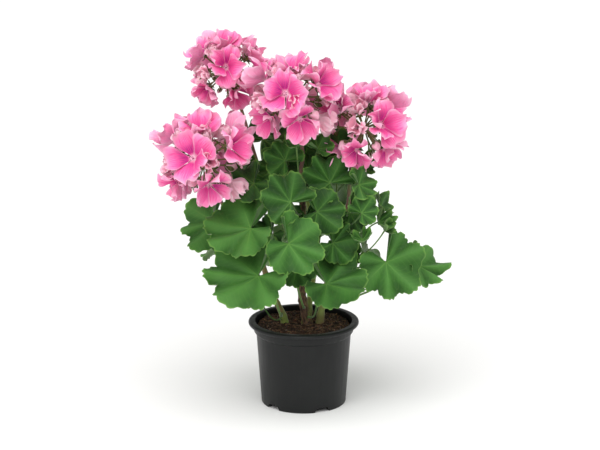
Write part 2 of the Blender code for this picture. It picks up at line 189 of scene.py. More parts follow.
# facing and lift aim the blade's upper side, tip turns its tip from downhill: all in degrees.
LEAVES = {
    "leaf_right_large": Leaf("right_stem", 0.55, (88, -16, 76), -80, 25, 49, 43, 0.10),
    "leaf_right_edge": Leaf("right_stem", 0.35, (124, 6, 66), -50, 45, 70, 31, 0.1),
    "leaf_front_right": Leaf("woody_stem", 0.22, (24, -50, 62), -88, 58, 100, 46, 0.20),
    "leaf_front_left_low": Leaf("left_stem", 0.30, (-48, -58, 73), -100, 52, -82, 55, 0.20),
    "leaf_front_left_mid": Leaf("left_stem", 0.92, (-56, -40, 120), -104, 48, -95, 48, 0.20),
    "leaf_front_centre": Leaf("woody_stem", 0.80, (-16, -72, 112), -80, 22, 72, 38, 0.20),
    "leaf_centre_upper": Leaf("woody_stem", 0.82, (-14, -47, 150), -92, 20, -145, 33, 0.12),
    "leaf_centre_round": Leaf("woody_stem", 0.62, (14, -32, 136), -86, 14, 95, 30, 0.08),
    "leaf_left_outer": Leaf("left_stem", 0.95, (-97, 18, 112), -112, 28, -68, 38, 0.12),
    "leaf_left_upper": Leaf("left_stem", 0.97, (-67, 18, 162), -118, 24, -92, 31, 0.15),
    "leaf_left_inner": Leaf("left_stem", 1, (-53, -20, 164), -98, 40, -75, 27, 0.15),
    "leaf_top_left": Leaf("woody_stem", 0.80, (-44, 42, 198), -80, 12, 158, 25, 0.15),
    "leaf_top_centre": Leaf("woody_stem", 0.85, (-20, -9, 186), -90, 16, -152, 24, 0.18),
    "leaf_top_small": Leaf("woody_stem", 0.96, (15, -4, 198), -75, 42, 140, 17, 0.30),
    "leaf_right_upper": Leaf("right_stem", 0.85, (28, -10, 162), -86, 20, -155, 32, 0.15),
    "leaf_right_shoulder": Leaf("right_stem", 0.95, (58, -26, 164), -68, 30, 98, 20, 0.15),
    "leaf_right_back_top": Leaf("right_stem", 0.97, (34, 20, 184), -95, 22, -142, 31, 0.15),
    "leaf_right_small_high": Leaf("right_stem", 0.89, (61, -34, 135), -82, 22, 148, 19, 0.2),
    "leaf_right_curl": Leaf("right_stem", 0.9, (83, 0, 132), -20, 30, 172, 18, 0.35),
    "leaf_right_inner": Leaf("right_stem", 0.62, (31, -26, 100), -80, 32, 88, 28, 0.15),
    "leaf_back_right_low": Leaf("right_stem", 0.3, (66, 36, 72), 30, 48, 0, 44, 0.15),
    "leaf_back_centre_low": Leaf("back_stem", 0.42, (22, 76, 98), 72, 44, 5, 44, 0.12),
    "leaf_back_left_low": Leaf("back_stem", 0.36, (-36, 68, 68), 112, 42, -8, 44, 0.15),
    "leaf_left_back_low": Leaf("left_stem", 0.36, (-82, 44, 84), 152, 44, 10, 38, 0.15),
    "leaf_back_right_mid": Leaf("back_stem", 0.78, (44, 56, 144), 60, 40, -5, 40, 0.12),
    "leaf_back_left_mid": Leaf("back_stem", 0.88, (-40, 66, 140), 120, 42, 0, 40, 0.15),
}

# Young leaves, and leaves inside the crown, that are too many for a node each.
YOUNG_LEAVES = {
    "inner_leaf_low": Leaf("woody_stem", 0.3, (-8, -36, 74), -94, 44, 40, 26, 0.15),
    "inner_leaf_left": Leaf("left_stem", 0.6, (-34, -14, 106), -112, 34, -60, 26, 0.2),
    "inner_leaf_left_high": Leaf("left_stem", 0.9, (-44, 8, 142), -104, 26, -100, 26, 0.2),
    "inner_leaf_centre": Leaf("woody_stem", 0.58, (2, 4, 122), -80, 24, 30, 28, 0.15),
    "inner_leaf_right": Leaf("right_stem", 0.7, (50, 2, 126), -74, 24, 70, 25, 0.2),
    "inner_leaf_right_low": Leaf("right_stem", 0.5, (42, -12, 84), -92, 36, 20, 24, 0.3),
    "inner_leaf_high": Leaf("woody_stem", 0.88, (4, 12, 172), -84, 22, -120, 26, 0.2),
    "inner_leaf_crown": Leaf("woody_stem", 0.9, (-30, 22, 170), -104, 20, -150, 24, 0.2),
    "young_leaf_top_edge": Leaf("woody_stem", 0.92, (-30, 6, 205), -100, 62, 175, 16, 0.5),
    "young_leaf_crown": Leaf("woody_stem", 0.99, (-8, -22, 205), -88, 50, -170, 14, 0.7),
    "young_leaf_right_a": Leaf("right_stem", 0.75, (80, -14, 120), -40, 42, 60, 15, 0.7),
    "young_leaf_right_b": Leaf("right_stem", 0.68, (62, -40, 108), -110, 60, 40, 13, 0.8),
    "young_leaf_right_c": Leaf("right_stem", 0.62, (86, -20, 112), -20, 30, 150, 11, 0.9),
    "young_leaf_right_d": Leaf("right_stem", 0.98, (62, -2, 176), -70, 38, 150, 16, 0.5),
    "young_leaf_left_low": Leaf("left_stem", 0.25, (-58, -30, 44), -110, 30, -30, 17, 0.3),
    "young_leaf_back": Leaf("back_stem", 0.98, (6, 62, 176), 88, 46, 20, 26, 0.2),
}


def linear(colour):
    """An sRGB hex colour as linear red, green, blue and alpha."""
    parts = [int(colour[i:i + 2], 16) / 255 for i in (1, 3, 5)]
    return tuple(c / 12.92 if c <= 0.04045 else ((c + 0.055) / 1.055) ** 2.4 for c in parts) + (1,)


def add(tree, kind, inputs=(), out=0, **settings):
    """Adds a shader node, sets it up, fills its inputs with values or links, and returns an output."""
    node = tree.nodes.new(f"ShaderNode{kind}")
    for key, value in settings.items():
        setattr(node, key, value)
    for key, value in dict(inputs).items():
        if isinstance(value, bpy.types.NodeSocket):
            tree.links.new(value, node.inputs[key])
        else:
            node.inputs[key].default_value = value
    return node.outputs[out]


def new_material(name, roughness, **sockets):
    """A material with constant sockets on its Principled BSDF. Also returns add for its tree, and
    the object's coordinates in metres."""
    made = bpy.data.materials.new(name)
    made.use_nodes = True
    inputs = made.node_tree.nodes["Principled BSDF"].inputs
    inputs["Roughness"].default_value = roughness
    for key, value in sockets.items():
        inputs[key.replace("_", " ")].default_value = value
    node = partial(add, made.node_tree)
    return made, node, node("TexCoord", out="Object")


def coat(made, base, layers, relief=None, strength=0, depth=0, rough=None, **settings):
    """Lays colours over the base, each by its share, and links them. The relief is depth metres deep."""
    tree = made.node_tree
    for amount, tint in layers:
        base = add(tree, "Mix", {0: amount, 6: base, 7: tint}, 2, data_type="RGBA")
    links = {"Base Color": base, "Roughness": rough}
    if relief:
        height = {"Height": relief, "Strength": strength, "Distance": depth}
        links["Normal"] = add(tree, "Bump", height, **settings)
    for key, value in links.items():
        if value:
            tree.links.new(value, tree.nodes["Principled BSDF"].inputs[key])
    return made


def to_mesh(bm, name):
    mesh = bpy.data.meshes.new(name)
    bm.to_mesh(mesh)
    bm.free()
    return mesh


def link(name, data):
    """A new object of the scene for a mesh, a light or a camera."""
    made = bpy.data.objects.new(name, data)
    bpy.context.scene.collection.objects.link(made)
    return made


def verts_of(geom):
    return [part for part in geom if isinstance(part, bmesh.types.BMVert)]


def float_layers(bm, names):
    return {name: bm.verts.layers.float.new(name) for name in names}


def paint(bm, index):
    for face in bm.faces:
        face.material_index = index


def thicken(bm, thickness, layer=None):
    """Closes a sheet to a thin solid. The layer, if there is one, marks its lower side."""
    lower = verts_of(bmesh.ops.extrude_face_region(bm, geom=bm.faces[:])["geom"])
    bmesh.ops.translate(bm, vec=(0, 0, -thickness), verts=lower)
    if layer:
        for vert in lower:
            vert[layer] = 1
    bmesh.ops.recalc_face_normals(bm, faces=bm.faces)


def sheet(columns, rows, place):
    """A sheet of points. place moves the one at u, -1 to 1 across, and t, 0 to 1 along."""
    bm = bmesh.new()
    bmesh.ops.create_grid(bm, x_segments=columns, y_segments=rows, size=1)
    for vert in bm.verts:
        vert.co = place(vert.co.x, (vert.co.y + 1) / 2)
    return bm


def spun(angle, axis="Z"):
    return Matrix.Rotation(angle, 4, axis)


def share(value, low, high):
    """0 at low, 1 at high and a smooth step between."""
    t = min(max((value - low) / (high - low), 0), 1)
    return t * t * (3 - 2 * t)


def direction(azimuth, elevation):
    flat = cos(elevation)
    return Vector((cos(azimuth) * flat, sin(azimuth) * flat, sin(elevation)))


def on_plant(point):
    x, y, height = point
    return Vector((x * UNIT, y * UNIT, SOIL_TOP + height * UNIT))


def smooth_path(points, steps):
    """Points on a Catmull-Rom curve through the given ones."""
    ends = [points[0] * 2 - points[1], *points, points[-1] * 2 - points[-2]]
    path = []
    for before, start, end, after in zip(ends, ends[1:], ends[2:], ends[3:]):
        for step in range(steps):
            t = step / steps
            path.append(0.5 * (
                start * 2
                + (end - before) * t
                + (before * 2 - start * 5 + end * 4 - after) * t ** 2
                + (start * 3 - before - end * 3 + after) * t ** 3
            ))
    path.append(points[-1].copy())
    return path


def tangents(path):
    ahead = path[1:] + [path[-1] * 2 - path[-2]]
    behind = [path[0] * 2 - path[1]] + path[:-1]
    return [(a - b).normalized() for a, b in zip(ahead, behind)]


def path_frames(path):
    """A matrix at each point of the path, with Z along it, that turns as little as it can."""
    along = tangents(path)
    turn = along[0].to_track_quat("Z", "Y")
    frames = []
    for i, point in enumerate(path):
        if i:
            turn = along[i - 1].rotation_difference(along[i]) @ turn
        frames.append(Matrix.Translation(point) @ turn.to_matrix().to_4x4())
    return frames


def sweep_tube(path, radii, sides, finish=0):
    """A closed tube along the path, as a bmesh."""
    bm = bmesh.new()
    frames = path_frames(path)
    made = bmesh.ops.create_circle(bm, cap_ends=True, radius=radii[0], segments=sides, matrix=frames[0])
    face = made["verts"][0].link_faces[0]
    for i in range(1, len(path)):
        grown = bmesh.ops.extrude_face_region(bm, geom=[face])["geom"]
        if i > 1:
            bmesh.ops.delete(bm, geom=[face], context="FACES_ONLY")
        step = frames[i] @ Matrix.Scale(radii[i] / radii[i - 1], 4) @ frames[i - 1].inverted()
        bmesh.ops.transform(bm, matrix=step, verts=verts_of(grown))
        face = next(f for f in grown if isinstance(f, bmesh.types.BMFace))
    bmesh.ops.recalc_face_normals(bm, faces=bm.faces)
    paint(bm, finish)
    return bm


def absorb(target, part, matrix=None):
    """Moves a bmesh, or a copy of a mesh, into the target bmesh."""
    mesh = to_mesh(part, "part") if isinstance(part, bmesh.types.BMesh) else part
    before = len(target.verts)
    target.from_mesh(mesh)
    if matrix is not None:
        target.verts.ensure_lookup_table()
        bmesh.ops.transform(target, matrix=matrix, verts=target.verts[before:])
    if mesh is not part:
        bpy.data.meshes.remove(mesh)


def finish_piece(name, bm, materials, replaced=(), sharp=50):
    """Turns the bmesh into a piece of the plant at the origin, riding on the one body."""
    mesh = to_mesh(bm, name)
    for material in materials:
        mesh.materials.append(material)
    mesh.shade_smooth()
    mesh.set_sharp_from_angle(angle=radians(sharp))
    piece = link(name, mesh)
    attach(piece, ROOT)
    if replaced:
        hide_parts(*replaced)
    return piece


def revolve(bm, profile, segments):
    """Spins a profile of (radius, height) pairs, which starts and ends on the axis, into a solid."""
    verts = [bm.verts.new((radius, 0, height)) for radius, height in profile]
    edges = [bm.edges.new(pair) for pair in zip(verts, verts[1:])]
    bmesh.ops.spin(bm, geom=verts + edges, axis=(0, 0, 1), angle=tau, steps=segments, use_merge=True)
    bmesh.ops.remove_doubles(bm, verts=bm.verts, dist=WELD)
    bmesh.ops.recalc_face_normals(bm, faces=bm.faces)


def wall_radius(height):
    """The radius of the pot's tapered wall at a height, outside."""
    shoulder = LIP_RADIUS - LIP_OVERHANG - COLLAR_STEP
    return FOOT_RADIUS + (shoulder - FOOT_RADIUS) * height / COLLAR_FOOT


# ---------------------------------------------------------------- materials


def pot_plastic(settings):
    """Polypropylene, injection moulded: a dull black skin with a fine spark-eroded grain, faint
    streaks where it shrank off the mould, and a film of dried peat water in loose clouds."""
    made, node, place = new_material("polypropylene_moulded", 0.46, IOR=1.49, Specular_IOR_Level=0.3)
    streaks = node("Mapping", {"Vector": place, "Scale": (1, 1, 0.06)})
    # Streaks are about 4 mm apart and the grain, 0.3 mm on the real pot, is drawn at 0.8 mm.
    streak = node("TexNoise", {"Vector": streaks, "Scale": 250, "Detail": 4})
    grain = node("TexNoise", {"Vector": place, "Scale": 1250, "Detail": 2})
    cloud = node("TexNoise", {"Vector": place, "Scale": 22, "Detail": 5})
    film = node("MapRange", {"Value": cloud, 1: 0.45, 2: 0.75})
    rough = node("MapRange", {"Value": streak, 1: 0.3, 2: 0.7, 3: 0.38, 4: 0.52})
    both = node("Math", {0: grain, 1: streak}, operation="ADD")
    return coat(made, settings.black, [(film, settings.bloom)], both, 0.12, 0.0003, rough)


def peat(settings):
    """Peat and bark compost, damp: near black, with rust and straw coloured bits. Its crumbs are brown
    on top and dark in the pores between them, which is painted shade.
    """
    made, node, place = new_material("peat_compost_damp", 0.88)
    # Bits are 1.5 to 4 mm across.
    bits = node("TexVoronoi", {"Vector": place, "Scale": 420}, "Color")
    tint = node("SeparateColor", {"Color": bits})
    crumb = node("TexNoise", {"Vector": place, "Scale": 260, "Detail": 6})
    wet = node("TexNoise", {"Vector": place, "Scale": 45, "Detail": 3})
    # Painted shade: brown only where the crumb relief stands high, near black in the low pores between
    # crumbs.
    shade = node("MapRange", {"Value": crumb, 1: 0.35, 2: 0.68})
    rare = node("MapRange", {"Value": tint, 1: 0.86, 2: 0.93, 4: 0.75})
    damp = node("MapRange", {"Value": wet, 1: 0.4, 2: 0.65, 4: 0.6})
    layers = [(shade, settings.brown), (rare, settings.straw), (damp, settings.dark)]
    return coat(made, settings.dark, layers, crumb, 0.9, 0.0012)


def bark(settings):
    """Young woody bark: brown, ringed and cracked along the stem, with paler corky ridges."""
    made, node, place = new_material("bark_corky", 0.82)
    long = node("Mapping", {"Vector": place, "Scale": (1, 1, 0.35)})
    # Ridges are about 1.5 mm apart round the stem.
    ridge = node("TexNoise", {"Vector": long, "Scale": 620, "Detail": 5})
    patch = node("TexNoise", {"Vector": place, "Scale": 90, "Detail": 3})
    light = node("MapRange", {"Value": ridge, 1: 0.38, 2: 0.66})
    mossy = node("MapRange", {"Value": patch, 1: 0.5, 2: 0.7, 4: 0.55})
    layers = [(light, settings.bark_pale), (mossy, settings.stem_green)]
    return coat(made, settings.bark_dark, layers, ridge, 0.8, 0.0008)


def soft_stem(name, green, flushed, flush_from, flush_to):
    """A hairy soft stem: green tissue that flushes red-brown where the noise passes flush_from."""
    made, node, place = new_material(name, 0.55, Sheen_Weight=0.25, Sheen_Roughness=0.5)
    long = node("Mapping", {"Vector": place, "Scale": (1, 1, 0.25)})
    wide = node("TexNoise", {"Vector": place, "Scale": 30, "Detail": 4})
    # Hairs and ribs are under 0.3 mm and are drawn at 1 mm.
    ribs = node("TexNoise", {"Vector": long, "Scale": 1000, "Detail": 3})
    flush = node("MapRange", {"Value": wide, 1: flush_from, 2: flush_to})
    return coat(made, green, [(flush, flushed)], ribs, 0.35, 0.0004)


def leaf_blade(settings):
    """Pelargonium leaf: matt and finely hairy, pale along the veins and at the rim, yellow-green
    below, darker in the valleys between its lobes, which is painted shade, and darker on the older
    blades, with painted shade deep in the crown. vein_gap, reach, rim, under and tone are stored on
    the blade's points, in millimetres where they are lengths."""
    made, node, place = new_material("leaf_blade_downy", 0.52, Sheen_Weight=0.05, Sheen_Roughness=0.6,
                                     Specular_IOR_Level=0.25)
    gap, reach, rim, under, tone = (node("Attribute", out="Fac", attribute_name=key)
                                    for key in BLADE_LAYERS)
    cloud = node("TexNoise", {"Vector": place, "Scale": 60, "Detail": 4})
    # Side veins leave each main vein every 5 mm and run outwards at half a right angle.
    lean = node("Math", {0: gap, 1: -1.0, 2: reach}, operation="MULTIPLY_ADD")
    warped = node("Math", {0: cloud, 1: 4.0, 2: lean}, operation="MULTIPLY_ADD")
    sides = node("Math", {0: warped, 1: 2.5}, operation="PINGPONG")
    side_vein = node("MapRange", {"Value": sides, 1: 0.0, 2: 0.5, 3: 0.1, 4: 0})
    main_vein = node("MapRange", {"Value": gap, 1: 0.1, 2: 0.75, 3: 1, 4: 0})
    fading = node("MapRange", {"Value": reach, 1: 3, 2: 26, 3: 0.3, 4: 0.07})
    ribs = node("Math", {0: main_vein, 1: fading}, operation="MULTIPLY")
    drawn = node("Math", {0: side_vein, 1: ribs}, operation="MAXIMUM")
    # The network between the veins has 1.6 mm cells.
    net = node("TexVoronoi", {"Vector": place, "Scale": 600}, feature="DISTANCE_TO_EDGE")
    mesh = node("MapRange", {"Value": net, 1: 0.0, 2: 0.12, 3: 1, 4: 0})
    grooves = node("Math", {0: drawn, 1: -1.6, 2: mesh}, operation="MULTIPLY_ADD")
    mottle = node("MapRange", {"Value": cloud, 1: 0.3, 2: 0.7})
    # Painted shade: a falling tone lays on the darker blade colour, in the valleys between the lobes and on
    # the older blades deep in the crown.
    old_and_shaded = node("MapRange", {"Value": tone, 1: 0, 2: -1})
    young = node("MapRange", {"Value": tone, 1: 0, 2: 1})
    halo = node("MapRange", {"Value": gap, 1: 0.5, 2: 5.0, 3: 0.22, 4: 0})
    edge = node("MapRange", {"Value": rim, 1: 0.2, 2: 2.4, 3: 0.55, 4: 0})
    lower = node("Math", {0: under, 1: 0.6}, operation="MULTIPLY")
    layers = [(mottle, settings.green), (old_and_shaded, settings.green_deep_shade), (young, settings.green_pale),
              (halo, settings.green_pale), (drawn, settings.vein), (edge, settings.vein),
              (lower, settings.underside)]
    return coat(made, settings.green_dark, layers, grooves, 0.35, 0.0004, invert=True)


def petal_skin(settings):
    """Pelargonium petal: thin and satiny, paler and more lilac at the rim and on its back, white at
    the claw, with deep magenta feathering, strongest on the upper petals. along, across, blotch,
    pale and back are stored on the petal's points."""
    made, node, place = new_material("petal_satin", 0.55, Sheen_Weight=0.06, Specular_IOR_Level=0.3,
                                     Subsurface_Weight=0.12, Subsurface_Scale=0.004,
                                     Subsurface_Radius=(1.0, 0.3, 0.55))
    along, across, blotch, pale, back = (node("Attribute", out="Fac", attribute_name=key)
                                         for key in PETAL_LAYERS)
    cloud = node("TexNoise", {"Vector": place, "Scale": 130, "Detail": 4})
    # Petal veins fan out from the claw, some twenty of them across the petal.
    grid = node("CombineXYZ", {"X": across, "Y": along})
    fan = node("Mapping", {"Vector": grid, "Scale": (9, 1.4, 1)})
    streak = node("TexNoise", {"Vector": fan, "Scale": 1.6, "Detail": 5})
    outer = node("MapRange", {"Value": along, 1: 0.25, 2: 0.95, 3: -0.16, 4: 0.2})
    lifted = node("Math", {0: streak, 1: outer}, operation="ADD")
    tint = node("MapRange", {"Value": lifted, 1: 0.34, 2: 0.66})
    rim = node("Math", {0: across, 1: 6.0}, operation="POWER")
    tip = node("Math", {0: along, 1: 7.0}, operation="POWER")
    edge = node("Math", {0: rim, 1: tip}, operation="MAXIMUM")
    loose = node("Math", {0: edge, 1: cloud}, operation="MULTIPLY")
    fade = node("MapRange", {"Value": loose, 1: 0.04, 2: 0.5, 4: 0.75})
    claw = node("MapRange", {"Value": along, 1: 0.05, 2: 0.19, 3: 0.85, 4: 0})
    flame = node("MapRange", {"Value": along, 1: 0.28, 2: 0.66, 3: 1, 4: 0})
    far = node("MapRange", {"Value": along, 1: 0.1, 2: 0.2})
    broken = node("MapRange", {"Value": streak, 1: 0.4, 2: 0.5})
    for factor in (far, broken, blotch):
        flame = node("Math", {0: flame, 1: factor}, operation="MULTIPLY")
    behind = node("Math", {0: back, 1: 0.35}, operation="MULTIPLY")
    layers = [(tint, settings.pink), (fade, settings.pink_pale), (claw, settings.throat),
              (flame, settings.magenta), (behind, settings.pink_pale), (pale, settings.cream)]
    return coat(made, settings.pink_deep, layers, streak, 0.5, 0.0012)


def plain_tissue(name, first, second, roughness):
    """Small soft parts, such as sepals and anthers: two close tones in patches of 2 mm."""
    made, node, place = new_material(name, roughness, Sheen_Weight=0.2)
    patch = node("TexNoise", {"Vector": place, "Scale": 500, "Detail": 3})
    tint = node("MapRange", {"Value": patch, 1: 0.35, 2: 0.65})
    return coat(made, first, [(tint, second)], patch, 0.3, 0.0004)


def paper(settings):
    """Seamless paper: matt and all but even."""
    made, node, place = new_material("paper_seamless", 0.9)
    # Paper fibres, drawn at 2 mm.
    fibre = node("TexNoise", {"Vector": place, "Scale": 500, "Detail": 2})
    return coat(made, settings.floor, [(fibre, PAPER_FIBRE)])


# ---------------------------------------------------------------- shapes


def arc(centre, radius, start, end, count):
    """Points of an arc in a profile, from one angle to another, in degrees."""
    for i in range(count + 1):
        angle = radians(start + (end - start) * i / count)
        yield centre[0] + radius * cos(angle), centre[1] + radius * sin(angle)


def pot_profile():
    """The pot's section from the middle of its underside, up the outside and down the inside."""
    roll = LIP_HEIGHT / 2
    lip_foot = POT_HEIGHT - LIP_HEIGHT
    collar = LIP_RADIUS - LIP_OVERHANG
    chamfer = FOOT_LIFT / 3
    inner_foot = FOOT_RADIUS - FOOT_WIDTH
    soft = EDGE_ROUNDING
    shoulder = wall_radius(COLLAR_FOOT)
    profile = [(0, 0), (PAD_RADIUS, 0), (PAD_RADIUS + chamfer, FOOT_LIFT),
               (inner_foot - chamfer, FOOT_LIFT), (inner_foot, 0)]
    profile += arc((FOOT_RADIUS - soft, soft), soft, -90, 0, 4)
    steps = 12
    profile += [(wall_radius(COLLAR_FOOT * i / steps), COLLAR_FOOT * i / steps) for i in range(1, steps)]
    profile += [(shoulder, COLLAR_FOOT), (shoulder + COLLAR_STEP * 0.3, COLLAR_FOOT + COLLAR_STEP * 0.25),
                (collar - COLLAR_STEP * 0.25, COLLAR_FOOT + COLLAR_STEP * 0.8),
                (collar, COLLAR_FOOT + COLLAR_STEP * 1.2), (collar, lip_foot - soft)]
    profile += arc((collar + soft, lip_foot - soft), soft, 180, 90, 3)
    profile += arc((LIP_RADIUS - roll, lip_foot + roll), roll, -90, 90, 12)
    profile += arc((collar - POT_WALL + soft, POT_HEIGHT - soft), soft, 90, 180, 4)
    profile += [(collar - POT_WALL, COLLAR_FOOT + COLLAR_STEP), (shoulder - POT_WALL, COLLAR_FOOT),
                (wall_radius(FLOOR_TOP) - POT_WALL, FLOOR_TOP), (0, FLOOR_TOP)]
    return profile


def pot_cutters():
    """The tapered notches of the foot ring and the drain holes, as one bmesh."""
    bm = bmesh.new()
    for i in range(NOTCHES):
        turn = spun(NOTCH_TURN - pi / 2 + tau * i / NOTCHES)
        size = Matrix.Diagonal((FOOT_WIDTH * 2, NOTCH_WIDTH, FOOT_LIFT * 2, 1))
        block = bmesh.new()
        verts = bmesh.ops.create_cube(block, size=1, matrix=size)["verts"]
        upper = [v for v in verts if v.co.z > 0]
        for vert in upper:
            vert.co.y *= NOTCH_TAPER
        corners = [e for e in block.edges if abs(e.verts[0].co.x - e.verts[1].co.x) > FOOT_WIDTH
                   and e.verts[0] in upper]
        bmesh.ops.bevel(block, geom=corners, offset=NOTCH_ROUNDING, affect="EDGES", segments=4,
                        profile=0.5, material=-1)
        absorb(bm, block, turn @ Matrix.Translation((FOOT_RADIUS - FOOT_WIDTH / 2, 0, 0)))
    ring = (PAD_RADIUS + FOOT_RADIUS - FOOT_WIDTH) / 2
    for i in range(DRAINS):
        place = spun(tau * i / DRAINS) @ Matrix.Translation((ring, 0, FLOOR_TOP))
        bmesh.ops.create_cone(bm, cap_ends=True, segments=24, radius1=DRAIN_RADIUS, radius2=DRAIN_RADIUS,
                              depth=POT_WALL * 6, matrix=place)
    return bm


def build_pot(settings):
    bm = bmesh.new()
    revolve(bm, pot_profile(), settings.segments)
    pot = finish_piece("pot_moulded", bm, [pot_plastic(settings)], ["nursery_pot"], 35)
    cutter = link("cutters", to_mesh(pot_cutters(), "cutters"))
    modifier = pot.modifiers.new("notches and drains", "BOOLEAN")
    modifier.operation = "DIFFERENCE"
    modifier.solver = "EXACT"
    modifier.object = cutter
    bpy.context.view_layer.update()
    cut = bpy.data.meshes.new_from_object(pot.evaluated_get(bpy.context.evaluated_depsgraph_get()))
    pot.modifiers.clear()
    pot.data = cut
    bpy.data.objects.remove(cutter, do_unlink=True)


def soil_height(x, y):
    """The height of the soil's crumbly top over a point of the pot."""
    place = Vector((x, y, 0))
    lumps = noise.fractal(place * 90, 0.8, 2.1, 3) * 1.5 * MM
    crumbs = noise.fractal(place * 420, 0.7, 2.0, 3) * 0.9 * MM
    sunk = share(place.length, 0.55 * LIP_RADIUS, 0.86 * LIP_RADIUS) * 1.2 * MM
    return SOIL_TOP + SOIL_FLUFF + lumps + crumbs - sunk


def build_soil(settings):
    """The soil's body with a crumbly top, and loose crumbs and fibres on it."""
    edge = wall_radius(COLLAR_FOOT) - POT_WALL - GAP
    rings = settings.rings
    rows = [(edge * (1 - i / rings), SOIL_TOP) for i in range(rings)] + [(0, SOIL_TOP)]
    base = FLOOR_TOP + GAP
    profile = [(0, base), (wall_radius(base) - POT_WALL - GAP, base), (edge, COLLAR_FOOT)] + rows
    bm = bmesh.new()
    revolve(bm, profile, rings * 4)
    for vert in bm.verts:
        if vert.co.z > COLLAR_FOOT + MM:
            vert.co.z = soil_height(vert.co.x, vert.co.y)
    finish = peat(settings)
    finish_piece("soil_bed", bm, [finish], ["potting_soil"], 180)
    rng = random.Random(SEED)
    bm = bmesh.new()
    for _ in range(settings.crumbs):
        angle = rng.uniform(0, tau)
        radius = edge * 0.95 * sqrt(rng.random())
        x, y = radius * cos(angle), radius * sin(angle)
        size = rng.uniform(*CRUMB_RADIUS) * MM
        turn = spun(rng.uniform(0, tau)) @ spun(rng.uniform(0, 3), "X")
        squash = Matrix.Diagonal((rng.uniform(0.7, 1.5), rng.uniform(0.6, 1), rng.uniform(0.45, 0.8), 1))
        place = Matrix.Translation((x, y, soil_height(x, y) + size * 0.25)) @ turn @ squash
        made = bmesh.ops.create_icosphere(bm, subdivisions=1, radius=size, matrix=place)
        for vert in made["verts"]:
            vert.co += noise.noise_vector(vert.co * 900) * size * 0.3
    finish_piece("soil_crumbs", bm, [finish], (), 180)
    bm = bmesh.new()
    for _ in range(settings.fibres):
        angle = rng.uniform(0, tau)
        radius = edge * 0.88 * sqrt(rng.random())
        heading = rng.uniform(0, tau)
        length = rng.uniform(*FIBRE_LENGTH) * MM
        path = []
        for step in range(5):
            x = radius * cos(angle) + cos(heading) * length * step / 4
            y = radius * sin(angle) + sin(heading) * length * step / 4
            if hypot(x, y) < edge * 0.97:
                path.append(Vector((x, y, soil_height(x, y) + rng.uniform(0.2, 1.4) * MM)))
            heading += rng.uniform(-0.5, 0.5)
        if len(path) > 1:
            thick = rng.uniform(*FIBRE_RADIUS) * MM
            absorb(bm, sweep_tube(path, [thick] * len(path), 5))
    straw = plain_tissue("wood_fibre", settings.straw, settings.brown, 0.8)
    finish_piece("soil_fibres", bm, [straw], (), 180)


class StemLine:
    """A stem's smooth axis with its radius, as in the frame."""

    def __init__(self, stem):
        self.points = smooth_path([on_plant(p) for p in stem.points], 3)
        count = len(self.points)
        taper = (stem.tip_radius - stem.foot_radius) / (count - 1)
        self.radii = [(stem.foot_radius + taper * i) * MM for i in range(count)]
        self.along = tangents(self.points)

    def leave(self, at, target):
        """Where something that grows towards the target leaves the stem, and its first direction."""
        place = at * (len(self.points) - 1)
        i = min(int(place), len(self.points) - 2)
        t = place - i
        centre = self.points[i].lerp(self.points[i + 1], t)
        along = self.along[i].lerp(self.along[i + 1], t).normalized()
        radius = self.radii[i] + (self.radii[i + 1] - self.radii[i]) * t
        if at >= 1:
            return centre + along * GAP, along
        out = ((target - centre) - along * (target - centre).dot(along)).normalized()
        return centre + out * (radius + GAP), out


def build_stem(name, stem, finish, rng):
    """A stem with swollen nodes and a little waviness, a hair thicker than its frame."""
    path = smooth_path(StemLine(stem).points, 4)
    knot, flare, grain, depth = WOODY_GROWTH if name == "woody_stem" else SOFT_GROWTH
    count = len(path)
    radii = []
    length = 0
    for i, point in enumerate(path):
        if i:
            length += (point - path[i - 1]).length
        base = (stem.foot_radius + (stem.tip_radius - stem.foot_radius) * i / (count - 1)) * MM
        ring = exp(-((length % KNOT_SPACING - KNOT_SPACING / 2) / KNOT_LENGTH) ** 2)
        foot = flare * MM * exp(-max(point.z - SOIL_TOP, 0) / FLARE_HEIGHT)
        radii.append(base * (1 + ring * knot) + foot)
    bm = sweep_tube(path, radii, 20)
    for vert in bm.verts:
        vert.co += vert.normal * noise.fractal(vert.co * grain, 0.8, 2, 3) * depth * MM
    rounded = bmesh.ops.create_icosphere(bm, subdivisions=2, radius=radii[-1] * 1.02,
                                         matrix=Matrix.Translation(path[-1]))
    for vert in rounded["verts"]:
        vert.co += vert.normal * rng.uniform(-0.1, 0.1) * MM
    finish_piece(f"{name}_grown", bm, [finish], [name], 70)


